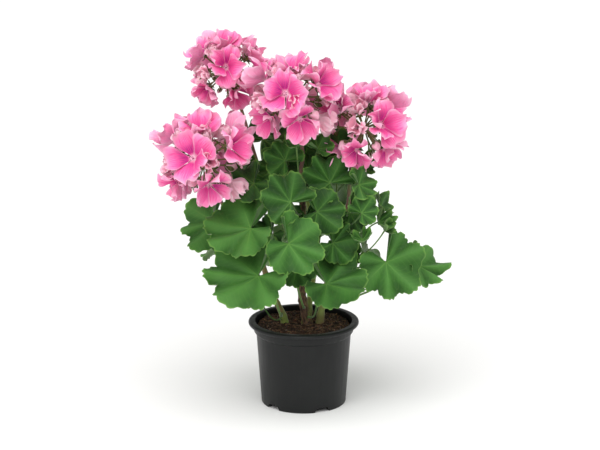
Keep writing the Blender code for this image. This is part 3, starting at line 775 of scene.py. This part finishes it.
def blade_template(leaf, rng, columns, rings):
    """A lobed, crenate, pleated blade with its tip at +X, its junction at the origin."""
    length = leaf.length * UNIT
    sweep = tau - LEAF_SINUS / 4
    bm = bmesh.new()
    layers = float_layers(bm, BLADE_LAYERS)
    spoke = [bm.verts.new((length * (i / rings) ** 0.85, 0, 0)) for i in range(rings + 1)]
    edges = [bm.edges.new(pair) for pair in zip(spoke, spoke[1:])]
    bmesh.ops.rotate(bm, cent=(0, 0, 0), matrix=Matrix.Rotation(-sweep / 2, 3, "Z"), verts=spoke)
    bmesh.ops.spin(bm, geom=spoke + edges, axis=(0, 0, 1), angle=sweep, steps=LEAF_LOBES * columns)
    bmesh.ops.remove_doubles(bm, verts=bm.verts, dist=WELD)
    big = leaf.length > BIG_LEAF
    fresh = leaf.junction[2] < CROWN_HEIGHT and leaf.length > FRESH_LEAF
    # Blades that are not fresh take a darker tone: older, and painted shade deep in the crown.
    tone = rng.uniform(0.1, 0.5) if fresh else rng.uniform(-0.6, 0.1)
    teeth = 5 if big else 4 if leaf.length > MIDDLE_LEAF else 3
    lobe = sweep / LEAF_LOBES
    swell = [rng.uniform(-1, 1) for _ in range(LEAF_LOBES + 1)]
    drift = Vector((rng.uniform(0, 50), rng.uniform(0, 50), 0))
    warp, roll = rng.uniform(0, tau), rng.uniform(0, tau)
    frill = 1 if big else 1.7
    for vert in bm.verts:
        angle = atan2(vert.co.y, vert.co.x)
        s = min(vert.co.length / length, 1)
        bent = angle + 0.15 * sin(2.6 * angle + warp) * cos(angle / 2)
        place = min(max((bent + sweep / 2) / lobe, 0), LEAF_LOBES)
        k = min(int(place), LEAF_LOBES - 1)
        phase = place - k - 0.5
        size = 1 - 0.38 * (abs(angle) / pi) ** 2.2
        dent = (0.15 + 0.07 * swell[k]) * share(abs(phase), 0.12, 0.5)
        crenel = 0.07 * (1 - abs(sin(pi * teeth * (phase + 0.5))) ** 0.7)
        lopsided = 1 + 0.035 * sin(2.3 * bent + roll) * s
        outline = size * (1.02 - dent * s ** 3 - crenel * s ** 7) * lopsided
        vert[layers["vein_gap"]] = abs(phase) * lobe * s * length * outline / MM
        vert[layers["reach"]] = s * length * outline / MM
        vert[layers["rim"]] = (1 - s) * length * outline / MM
        # Painted shade: the tone falls in the valleys between the lobes, where the pleats crease.
        vert[layers["tone"]] = tone - 0.8 * share(abs(phase), 0.15, 0.5) * s
        vert.co *= outline
        reach = s * size
        cup = leaf.cup * reach ** 2
        ridge = 0.5 + 0.5 * cos(tau * phase)
        pleat = (0.17 + 0.05 * swell[k]) * frill * reach ** 1.25 * ridge
        wave = 0.08 * reach ** 3 * sin(2.6 * bent + roll)
        wave += 0.05 * reach ** 4 * sin(5.3 * bent + warp)
        wave *= frill
        ruffle = 0.03 * s ** 6 * cos(pi * teeth * (phase + 0.5))
        droop = 0.13 * reach ** 2.5
        funnel = 0
        over = abs(angle) - LEAF_FOLD
        if over > 0:
            fold = (1.35 if angle * leaf.tip > 0 else 0.5) * share(over, 0, 0.4)
            side = copysign(1, angle)
            axis = Vector((cos(LEAF_FOLD), side * sin(LEAF_FOLD), 0))
            aside = Vector((-sin(LEAF_FOLD), side * cos(LEAF_FOLD), 0))
            across = vert.co.length * sin(over)
            funnel = across * sin(fold) / length
            vert.co = axis * vert.co.length * cos(over) + aside * across * cos(fold)
        uneven = 0.09 * reach * noise.noise(vert.co * 42 + drift)
        vert.co.z = length * (cup + pleat + wave + ruffle + funnel + uneven - droop)
    thicken(bm, BLADE_THICKNESS, layers["under"])
    return bm


def blade_place(leaf):
    """The matrix that sets a blade at its junction, facing and tip."""
    up = direction(radians(leaf.facing), radians(leaf.lift))
    downhill = (up * up.z - Vector((0, 0, 1))).normalized()
    right = up.cross(downhill)
    tip = downhill * cos(radians(leaf.tip)) + right * sin(radians(leaf.tip))
    turn = Matrix((tip, up.cross(tip), up)).transposed().to_4x4()
    return Matrix.Translation(on_plant(leaf.junction)) @ turn


def petiole_path(leaf, stems, steps):
    """A curve that leaves the stem sideways and meets the blade from below, near its sinus."""
    place = blade_place(leaf)
    end = place @ Vector((0, 0, -0.2 * MM))
    arrival = (place.to_3x3() @ Vector((0.6, 0, 0.8))).normalized()
    seat, out = stems[leaf.stem].leave(leaf.at, end)
    start = seat + out * PETIOLE_RADIUS * 2
    reach = (end - start).length / 3
    first, second = start + out * reach, end - arrival * reach
    path = [seat - out * MM]
    for i in range(steps + 1):
        t = i / steps
        u = 1 - t
        path.append(start * u ** 3 + first * 3 * t * u * u + second * 3 * t * t * u + end * t ** 3)
    return path


def build_leaf(name, leaf, stems, materials, settings, rng, replaced):
    """A blade on its petiole, which is a little thicker at both ends."""
    bm = blade_template(leaf, rng, settings.columns, settings.rings)
    bmesh.ops.transform(bm, matrix=blade_place(leaf), verts=bm.verts)
    path = petiole_path(leaf, stems, PETIOLE_STEPS)
    swell = [1.5, 1.3] + [1.0] * (len(path) - 4) + [1.05, 1.25]
    radius = PETIOLE_RADIUS * (0.7 if leaf.length < SMALL_LEAF else 1)
    absorb(bm, sweep_tube(path, [radius * k for k in swell], 10, 1))
    finish_piece(f"{name}_grown", bm, materials, replaced, 80)


def petal(rng, length, width, blotch, pale, closure):
    """One wavy petal from the throat along +X, closed to a thin solid. closure lifts it, in degrees."""
    bm = bmesh.new()
    layers = float_layers(bm, PETAL_LAYERS)
    bmesh.ops.create_grid(bm, x_segments=14, y_segments=13, size=1)
    phase, waves = rng.uniform(0, tau), rng.uniform(3.0, 5.6)
    curl, notch = rng.uniform(-0.1, 0.44), rng.uniform(0, 0.14)
    crease = rng.uniform(-0.2, 0.3)
    pale *= rng.uniform(0.8, 1)
    drift = Vector((rng.uniform(0, 90), rng.uniform(0, 90), 0))
    for vert in bm.verts:
        u, t = vert.co.x, (vert.co.y + 1) / 2
        vert[layers["along"]] = t
        vert[layers["across"]] = abs(u)
        vert[layers["blotch"]] = blotch
        vert[layers["pale"]] = pale
        half = width / 2 * (0.13 + 0.87 * share(t, 0.02, 0.66)) * sqrt(1 - 0.5 * t ** 7)
        ragged = 0.045 * t ** 3 * sin(6 * u + 3 * phase) - notch * exp(-(u / 0.3) ** 2) * t ** 6
        bowl = 0.42 * t ** 1.25 - curl * t ** 3.5
        fold = (0.06 + crease) * u * u * t - 0.03 * exp(-(u / 0.16) ** 2) * t
        frill = 0.12 * t ** 2.2 * sin(waves * u + phase)
        frill += 0.045 * t ** 4 * sin(11 * u + 2 * phase)
        rough = 0.11 * t * noise.noise(Vector((u * 1.6, t * 2.4, 0)) + drift)
        vert.co = (length * (t - 0.2 * u * u * t ** 3 + ragged), u * half,
                   length * (bowl + fold + frill + rough))
    thicken(bm, PETAL_THICKNESS, layers["back"])
    tilt = spun(radians(-closure), "Y") @ spun(radians(rng.uniform(4, 20)), "X")
    bmesh.ops.transform(bm, matrix=tilt, verts=bm.verts)
    return bm


def sepal(u, t):
    half = 1.7 * MM * sin(pi * min(0.12 + t * 0.88, 1)) ** 0.8
    return 8 * MM * t, u * half, -2.2 * MM * sin(2.6 * t) + 0.5 * MM * u * u


def floret_template(rng, radius, closure=0, pale=0, stamens=6):
    """An open or half-open floret round +Z with its throat at the origin, with calyx and stamens."""
    bm = bmesh.new()
    for i in range(PETALS):
        upper = i in (1, 2)
        length = radius * (1.04 if upper else 1.12) * rng.uniform(0.95, 1.07)
        width = radius * (0.94 if upper else 1.16) * rng.uniform(0.88, 1.12)
        lift = closure + rng.uniform(-18, 24)
        turn = spun(tau * i / PETALS + rng.uniform(-0.09, 0.09))
        place = turn @ Matrix.Translation((0.5 * MM, 0, 0))
        absorb(bm, petal(rng, length, width, 1.0 if upper else 0.5, pale, lift), place)
    for i in range(PETALS):
        leaf = sheet(3, 6, sepal)
        thicken(leaf, SEPAL_THICKNESS)
        paint(leaf, 1)
        turn = spun(tau * (i + 0.5) / PETALS)
        absorb(bm, leaf, turn @ Matrix.Translation((0.4 * MM, 0, -0.5 * MM)))
    for i in range(stamens):
        turn = tau * i / stamens + rng.uniform(-0.2, 0.2)
        lean = rng.uniform(0.15, 0.5)
        rise = Vector((cos(turn) * lean, sin(turn) * lean, 1)).normalized()
        top = rise * rng.uniform(4.5, 7) * MM
        absorb(bm, sweep_tube([Vector(), top * 0.6, top], [0.28 * MM, 0.22 * MM, 0.2 * MM], 5, 2))
        anther = bmesh.new()
        squash = Matrix.Diagonal((0.6, 0.6, 1, 1))
        bmesh.ops.create_icosphere(anther, subdivisions=1, radius=0.9 * MM, matrix=squash)
        paint(anther, 3)
        absorb(bm, anther, Matrix.Translation(top))
    return to_mesh(bm, "floret")


def bud_template(rng, length, open_share):
    """A bud round +Z with its foot at the origin: wrapped petals that show pink at the top, in
    green sepals."""
    bm = bmesh.new()
    layers = float_layers(bm, PETAL_LAYERS)
    wide = length * (0.22 + 0.16 * open_share)
    tall = length * (0.85 - 0.3 * open_share)

    def plump(t):
        return sin(pi * min(t * 0.92 + 0.04, 1)) ** 0.75

    def bud_sepal(u, t):
        angle = u * 0.5 * sin(pi * min(0.16 + t * 0.84, 1)) ** 0.8
        out = wide * (plump(t * tall / length) * 1.1 + 0.06)
        return cos(angle) * out, sin(angle) * out, tall * t

    bmesh.ops.create_uvsphere(bm, u_segments=20, v_segments=14, radius=1)
    for vert in bm.verts:
        t = (vert.co.z + 1) / 2
        angle = atan2(vert.co.y, vert.co.x)
        out = wide * plump(t) * (1 + 0.1 * sin(3 * angle + 5 * t))
        vert[layers["along"]] = 0.35 + 0.4 * t
        vert[layers["pale"]] = 0.75 - 0.45 * t * open_share
        vert[layers["back"]] = 0.6
        vert.co = (cos(angle) * out, sin(angle) * out, length * t)
    for i in range(PETALS):
        leaf = sheet(4, 7, bud_sepal)
        for vert in verts_of(bmesh.ops.extrude_face_region(leaf, geom=leaf.faces[:])["geom"]):
            vert.co.xy *= 1.08
        bmesh.ops.recalc_face_normals(leaf, faces=leaf.faces)
        paint(leaf, 1)
        absorb(bm, leaf, spun(tau * i / PETALS + rng.uniform(-0.1, 0.1)))
    return to_mesh(bm, "bud")


def aim(place, look, spin):
    """A matrix at a place with Z along look, spun about it."""
    turn = look.to_track_quat("Z", "Y").to_matrix().to_4x4()
    return Matrix.Translation(place) @ turn @ spun(spin)


def stem_lines():
    return {name: StemLine(stem) for name, stem in STEMS.items()}


def bract(u, t):
    half = 1.6 * MM * sin(pi * min(0.2 + t * 0.8, 1))
    return 3.4 * MM + 4.2 * MM * t, u * half, -2.4 * MM - 2.6 * MM * t * t


def build_stalk(name, stalk, stems, finish, rng):
    """A flower stalk with a lumpy hub at its top, where the pedicels leave it."""
    points = [on_plant(p) for p in stalk.points]
    start, out = stems[stalk.stem].leave(stalk.at, points[0])
    path = [start - out * MM] + smooth_path([start + out * STALK_RADIUS * 3, *points], 8)
    count = len(path)
    radii = [STALK_RADIUS * (1.12 - 0.2 * i / count + 0.5 * exp(-i / 1.5)) for i in range(count)]
    radii[-1] = radii[-2] = STALK_RADIUS * 1.15
    bm = sweep_tube(path, radii, 16)
    hub = bmesh.new()
    bmesh.ops.create_icosphere(hub, subdivisions=3, radius=HUB_RADIUS * 0.92)
    for vert in hub.verts:
        vert.co *= 1 + 0.12 * noise.noise(vert.co * 500)
    absorb(bm, hub, Matrix.Translation(path[-1]))
    for i in range(BRACTS):
        leaf = sheet(3, 5, bract)
        thicken(leaf, BRACT_THICKNESS)
        turn = spun(tau * i / BRACTS + rng.uniform(-0.2, 0.2))
        absorb(bm, leaf, Matrix.Translation(path[-1]) @ turn)
    finish_piece(f"{name}_grown", bm, [finish], [name], 60)


def build_head(name, head, templates, materials, rng):
    """A round head: the frame's six florets, the ring below them, and buds between and under them."""
    hub = on_plant(STALKS[head.stalk].points[-1])
    radius = head.floret_radius * UNIT
    reach = radius / tan(FLORET_SPREAD) - radius * FLORET_CUP
    turn = radians(head.turn)
    size = radius / TEMPLATE_RADIUS
    short = name[5:]
    places = {"top": (turn, pi / 2)}
    places.update({f"side_{i + 1}": (turn + tau * i / PETALS, RING_ELEVATION) for i in range(PETALS)})
    for label, (azimuth, elevation) in places.items():
        node = f"floret_{short}_{label}"
        aside, up, scale = LEAN.get(label, (0, 0, 1))
        look = direction(azimuth + radians(aside), elevation + radians(up))
        bm = bmesh.new()
        template = rng.choice(templates["open"])
        out = reach * (TOP_REACH if label == "top" else 1)
        grow_flower(bm, template, hub, loosen(look, 4, rng), out, size * scale, rng)
        finish_piece(f"{node}_open", bm, materials, [node], 60)
    for i, (kind, scale, drop) in enumerate(LOWER_RING):
        look = direction(turn + tau * (i + 0.5) / PETALS, -RING_ELEVATION - radians(drop))
        bm = bmesh.new()
        template = rng.choice(templates[kind])
        out = reach * (0.78 + 0.2 * scale)
        grow_flower(bm, template, hub, loosen(look, 5, rng), out, size * scale, rng)
        finish_piece(f"floret_{short}_low_{i + 1}", bm, materials, (), 60)
    bm = bmesh.new()
    for i in range(PETALS):
        for kind, step, up, loose, out, scale in BETWEEN:
            template = rng.choice(templates[kind])
            look = loosen(direction(turn + tau * (i + step) / PETALS, radians(up)), loose, rng)
            grow_flower(bm, template, hub, look, reach * out, size * scale, rng)
    for i in range(GREEN_BUDS):
        azimuth = turn + tau * (i + 0.3) / GREEN_BUDS
        look = direction(azimuth, radians(rng.uniform(-72, -50)))
        template = rng.choice(templates["green"])
        grow_flower(bm, template, hub, look, reach * rng.uniform(0.5, 0.85), size, rng)
    finish_piece(f"buds_{short}", bm, materials, (), 60)


def loosen(look, most, rng):
    """Turns a direction a little away from its regular place. most is in degrees."""
    aside = Vector([rng.uniform(-1, 1) for _ in range(3)])
    return (look + aside * tan(radians(most))).normalized()


def grow_flower(bm, template, hub, look, reach, size, rng):
    """Adds a flower or a bud and its pedicel, from the hub outwards."""
    throat = hub + look * reach
    absorb(bm, template, aim(throat, look, rng.uniform(0, tau)) @ Matrix.Scale(size, 4))
    side = look.orthogonal().normalized() * reach * rng.uniform(-0.07, 0.07)
    path = smooth_path([hub + look * HUB_RADIUS * 0.6, hub + look * reach * 0.55 + side, throat], 5)
    radii = [0.8 * MM for _ in path]
    radii[0], radii[1], radii[-2], radii[-1] = 1.2 * MM, 1.0 * MM, 1.1 * MM, 1.4 * MM
    absorb(bm, sweep_tube(path, radii, 8, 4))


def flower_templates(rng):
    """Meshes of open florets, half-open florets, pink buds and green buds, to be copied about."""
    radius = TEMPLATE_RADIUS
    return {
        "open": [floret_template(rng, radius, rng.uniform(2, 24)) for _ in range(8)],
        "half": [floret_template(rng, radius * 0.82, rng.uniform(28, 46), 0.42, 3) for _ in range(3)],
        "bud": [bud_template(rng, length * MM, 0.9) for length in (13, 15)],
        "green": [bud_template(rng, length * MM, 0) for length in (6, 8, 9)],
    }


# ---------------------------------------------------------------- settings, operators and panel


def colour(label, value, description):
    """A colour that a user can change, from its sRGB hex value."""
    return FloatVectorProperty(name=label, description=description, default=linear(value), size=4,
                               subtype="COLOR", min=0, max=1)


class GERANIUM_PG_pot(bpy.types.PropertyGroup):
    segments: IntProperty(name="Segments", description="Faces round the pot", default=144, min=24,
                          max=256)
    black: colour("Plastic", "#0F1111", "Colour of the pot's plastic")
    bloom: colour("Film", "#161818", "Colour of the dried film on the pot")


class GERANIUM_PG_soil(bpy.types.PropertyGroup):
    rings: IntProperty(name="Rings", description="Rings of faces on the soil's top", default=64, min=8,
                       max=96)
    crumbs: IntProperty(name="Crumbs", description="Loose crumbs on the soil", default=900, min=0, max=2000)
    fibres: IntProperty(name="Fibres", description="Wood fibres on the soil", default=150, min=0, max=500)
    # Damp peat, and also left in the pores between the crumbs as painted shade.
    dark: colour("Dark", "#1E130D", "Colour of damp peat")
    brown: colour("Brown", "#5A3A26", "Colour of drier peat and bark")
    straw: colour("Fibre", "#8F6A4A", "Colour of wood fibres")


class GERANIUM_PG_stems(bpy.types.PropertyGroup):
    bark_dark: colour("Bark, dark", "#33221A", "Colour of the cracks in the bark")
    bark_pale: colour("Bark, pale", "#7C5B45", "Colour of the corky ridges")
    stem_green: colour("Stem", "#8A9A4A", "Colour of the soft stems")
    stem_flush: colour("Stem, flushed", "#7E5F40", "Colour of the soft stems where they turn woody")
    stalk_green: colour("Stalk", "#7B7A4C", "Colour of the flower stalks in the shade")
    stalk_flush: colour("Stalk, flushed", "#8A5F58", "Colour of the flower stalks in the sun")


class GERANIUM_PG_leaves(bpy.types.PropertyGroup):
    columns: IntProperty(name="Columns", description="Faces across each lobe", default=16, min=6, max=24)
    rings: IntProperty(name="Rings", description="Faces from the junction to the rim", default=13,
                       min=5, max=20)
    green: colour("Blade", "#356A1F", "Main colour of the blade")
    # Painted shade: this darker blade colour is laid in the valleys between the lobes, and on the older
    # blades deep in the crown.
    green_deep_shade: colour("Blade, old", "#1D4212", "Colour of the old blades in the shade")
    green_dark: colour("Blade, dark", "#285617", "Colour of the blade's darker patches")
    green_pale: colour("Blade, pale", "#5A9440", "Colour of the blade beside its veins")
    vein: colour("Veins and rim", "#7CAA4B", "Colour of the veins and of the rim")
    underside: colour("Underside", "#7E9A68", "Colour of the downy underside")
    petiole: colour("Petiole", "#5E8338", "Colour of the leaf's stem")


class GERANIUM_PG_flowers(bpy.types.PropertyGroup):
    pink: colour("Petal", "#FF82BB", "Main colour of the petals")
    pink_deep: colour("Petal, streaks", "#F23E92", "Colour of the streaks between the petal's veins")
    pink_pale: colour("Petal, rim", "#FDCBE2", "Colour of the petal's rim and back")
    throat: colour("Throat", "#F9DCE9", "Colour of the petal's claw")
    magenta: colour("Blotch", "#A81478", "Colour of the feathering on the upper petals")
    cream: colour("Bud", "#FCEFEA", "Colour of an unopened petal")
    sepal: colour("Sepal", "#66702A", "Colour of the sepals")
    sepal_dark: colour("Sepal, dark", "#3D3515", "Colour of the sepals in the sun")
    anther: colour("Anther", "#7A1D52", "Colour of the anthers")
    pedicel: colour("Pedicel", "#6A5A2E", "Colour of the pedicels")


class GERANIUM_PG_stage(bpy.types.PropertyGroup):
    floor: colour("Floor", "#F4F4F2", "Colour of the floor")
    key: FloatProperty(name="Key light", description="Strength of the key light", default=2.3, min=0)
    fill: FloatProperty(name="Fill light", description="Power of the fill light", default=4, min=0,
                        unit="POWER")
    sky: FloatProperty(name="Sky", description="Strength of the even light", default=0.6, min=0)
    distance: FloatProperty(name="Distance", description="From the camera to the plant", default=2.2,
                            min=0.5, unit="LENGTH")
    elevation: FloatProperty(name="Elevation", description="Of the camera over the floor",
                             default=radians(14.8), subtype="ANGLE")


class GERANIUM_OT_pot(bpy.types.Operator):
    """Turn the pot, and cut its notches and drain holes"""
    bl_idname = "geranium.pot"
    bl_label = "Pot"

    def execute(self, context):
        build_pot(context.scene.geranium_pot)
        return {"FINISHED"}


class GERANIUM_OT_soil(bpy.types.Operator):
    """Fill the pot with soil, with crumbs and fibres on it"""
    bl_idname = "geranium.soil"
    bl_label = "Soil"

    def execute(self, context):
        build_soil(context.scene.geranium_soil)
        return {"FINISHED"}


class GERANIUM_OT_stems(bpy.types.Operator):
    """Grow the woody stem, the soft stems and the flower stalks"""
    bl_idname = "geranium.stems"
    bl_label = "Stems"

    def execute(self, context):
        settings = context.scene.geranium_stems
        rng = random.Random(SEED)
        woody = bark(settings)
        soft = soft_stem("stem_soft_hairy", settings.stem_green, settings.stem_flush, 0.46, 0.66)
        stalk_skin = soft_stem("stalk_hairy", settings.stalk_green, settings.stalk_flush, 0.32, 0.52)
        lines = stem_lines()
        for name, stem in STEMS.items():
            grown = name == "woody_stem"
            build_stem(name, stem, woody if grown else soft, rng)
        for name, stalk in STALKS.items():
            build_stalk(name, stalk, lines, stalk_skin, rng)
        return {"FINISHED"}


class GERANIUM_OT_leaves(bpy.types.Operator):
    """Grow the leaves, each with its petiole"""
    bl_idname = "geranium.leaves"
    bl_label = "Leaves"

    def execute(self, context):
        settings = context.scene.geranium_leaves
        rng = random.Random(SEED)
        petiole = soft_stem("petiole_hairy", settings.petiole, settings.green_dark, 0.5, 0.75)
        materials = [leaf_blade(settings), petiole]
        lines = stem_lines()
        for name, leaf in LEAVES.items():
            build_leaf(name, leaf, lines, materials, settings, rng, [name])
        for name, leaf in YOUNG_LEAVES.items():
            build_leaf(name, leaf, lines, materials, settings, rng, ())
        return {"FINISHED"}


class GERANIUM_OT_flowers(bpy.types.Operator):
    """Grow the four heads of florets and buds"""
    bl_idname = "geranium.flowers"
    bl_label = "Flowers"

    def execute(self, context):
        settings = context.scene.geranium_flowers
        rng = random.Random(SEED)
        materials = [
            petal_skin(settings),
            plain_tissue("sepal_downy", settings.sepal, settings.sepal_dark, 0.6),
            plain_tissue("filament_smooth", settings.throat, settings.pink_pale, 0.5),
            plain_tissue("anther_grainy", settings.anther, settings.magenta, 0.7),
            plain_tissue("pedicel_downy", settings.pedicel, settings.sepal, 0.6),
        ]
        templates = flower_templates(rng)
        for name, head in HEADS.items():
            build_head(name, head, templates, materials, rng)
        return {"FINISHED"}


class GERANIUM_OT_stage(bpy.types.Operator):
    """Lay the floor, and set the lights and the camera"""
    bl_idname = "geranium.stage"
    bl_label = "Stage"

    def execute(self, context):
        build_stage(context.scene.geranium_stage)
        return {"FINISHED"}


def face_target(item, place, target):
    """Sets a light or a camera at a place, looking at the target."""
    item.location = place
    item.rotation_euler = (target - place).to_track_quat("-Z", "Y").to_euler()


def build_stage(settings):
    """A wide pale floor, a soft key from the upper left, a fill from the right and an even sky."""
    bm = bmesh.new()
    bmesh.ops.create_circle(bm, cap_ends=True, radius=FLOOR_RADIUS, segments=96)
    floor = link("floor", to_mesh(bm, "floor"))
    floor.data.materials.append(paper(settings))
    world = bpy.data.worlds.new("studio")
    world.use_nodes = True
    sky = world.node_tree.nodes["Background"].inputs
    sky["Color"].default_value = (1, 1, 1, 1)
    sky["Strength"].default_value = settings.sky
    bpy.context.scene.world = world
    area = bpy.data.lights.new("fill", "AREA")
    area.energy, area.size = settings.fill, FILL_SIZE
    face_target(link("fill", area), FILL_PLACE, PLANT_MIDDLE)
    sun = bpy.data.lights.new("key", "SUN")
    sun.energy, sun.angle = settings.key, KEY_SPREAD
    face_target(link("key", sun), direction(KEY_AZIMUTH, KEY_ELEVATION), Vector())
    camera = link("camera", bpy.data.cameras.new("camera"))
    camera.data.lens = LENS
    camera.data.sensor_width = SENSOR_WIDTH
    face_target(camera, AIM + direction(-pi / 2, settings.elevation) * settings.distance, AIM)
    bpy.context.scene.camera = camera
    bpy.context.scene.view_settings.view_transform = "Standard"


class GERANIUM_PT_panel(bpy.types.Panel):
    """Lists the steps that build the plant, and their sizes and colours"""
    bl_idname = "GERANIUM_PT_panel"
    bl_label = "Potted Geranium"
    bl_space_type = "VIEW_3D"
    bl_region_type = "UI"
    bl_category = "Geranium"

    def draw(self, context):
        for step in STEPS:
            box = self.layout.box()
            box.operator(f"geranium.{step}")
            settings = getattr(context.scene, f"geranium_{step}")
            for key in type(settings).__annotations__:
                box.prop(settings, key)


STEPS = {
    "pot": (GERANIUM_PG_pot, GERANIUM_OT_pot),
    "soil": (GERANIUM_PG_soil, GERANIUM_OT_soil),
    "stems": (GERANIUM_PG_stems, GERANIUM_OT_stems),
    "leaves": (GERANIUM_PG_leaves, GERANIUM_OT_leaves),
    "flowers": (GERANIUM_PG_flowers, GERANIUM_OT_flowers),
    "stage": (GERANIUM_PG_stage, GERANIUM_OT_stage),
}


def register():
    for step, (group, operator) in STEPS.items():
        bpy.utils.register_class(group)
        bpy.utils.register_class(operator)
        setattr(bpy.types.Scene, f"geranium_{step}", PointerProperty(type=group))
    bpy.utils.register_class(GERANIUM_PT_panel)


def unregister():
    bpy.utils.unregister_class(GERANIUM_PT_panel)
    for step, (group, operator) in STEPS.items():
        delattr(bpy.types.Scene, f"geranium_{step}")
        bpy.utils.unregister_class(operator)
        bpy.utils.unregister_class(group)


def main():
    register()
    for step in STEPS:
        getattr(bpy.ops.geranium, step)()


if __name__ == "__main__":
    main()
